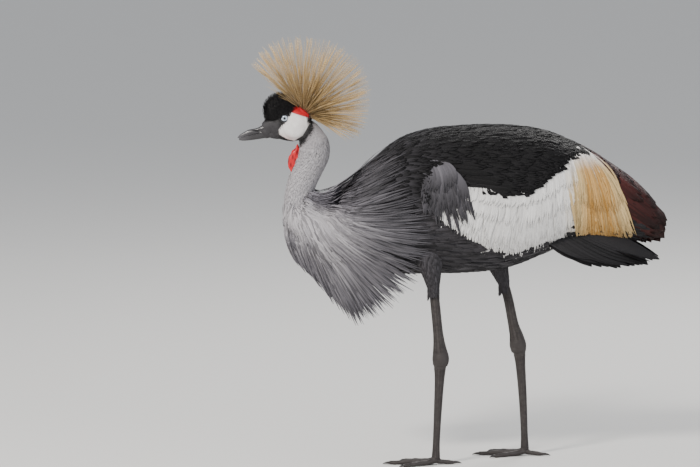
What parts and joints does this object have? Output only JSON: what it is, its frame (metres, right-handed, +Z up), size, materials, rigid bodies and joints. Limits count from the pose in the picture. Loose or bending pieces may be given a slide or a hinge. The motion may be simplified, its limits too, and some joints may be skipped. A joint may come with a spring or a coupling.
{
  "type": "grey crowned crane",
  "caption": "Life-size standing grey crowned crane with a fan crest, curved neck, draped breast plumes, folded wings and long legs, posed in a slow walk.",
  "frame": {"origin": "on the floor, under the centre of the bird's bounding box", "axes": "+Z up; the bird faces -X, its left side faces -Y"},
  "size_m": [0.8201, 0.2382, 0.7979],
  "materials": {
    "head_plumage": "matte black velvet plumage with white and red bare cheeks",
    "bill_horn": "dark grey horn, satin",
    "eye": "pale blue-grey iris, wet gloss",
    "crest_bristles": "straw-gold stiff feathers",
    "wattle_skin": "bare red skin, satin",
    "neck_plumage": "pearl grey soft plumage",
    "body_plumage": "slate grey to black plumage",
    "wing_plumage": "white, straw-gold and maroon plumage",
    "tail_plumage": "black plumage",
    "leg_skin": "dark grey-brown scaly skin",
    "claw_horn": "black horn"
  },
  "bodies": {
    "root": {"head": "head_plumage", "bill_upper": "bill_horn", "bill_lower": "bill_horn", "eye_left": "eye", "eye_right": "eye", "crest": "crest_bristles", "throat_wattle": "wattle_skin", "neck_upper": "neck_plumage", "neck_lower": "neck_plumage", "torso": "body_plumage", "wing_left": "wing_plumage", "wing_right": "wing_plumage", "tail": "tail_plumage", "thigh_left": "body_plumage", "shank_left": "leg_skin", "tarsus_left": "leg_skin", "foot_left": "leg_skin", "claw_left_inner": "claw_horn", "claw_left_middle": "claw_horn", "claw_left_outer": "claw_horn", "claw_left_hind": "claw_horn", "thigh_right": "body_plumage", "shank_right": "leg_skin", "tarsus_right": "leg_skin", "foot_right": "leg_skin", "claw_right_inner": "claw_horn", "claw_right_middle": "claw_horn", "claw_right_outer": "claw_horn", "claw_right_hind": "claw_horn"}
  },
  "joints": []
}
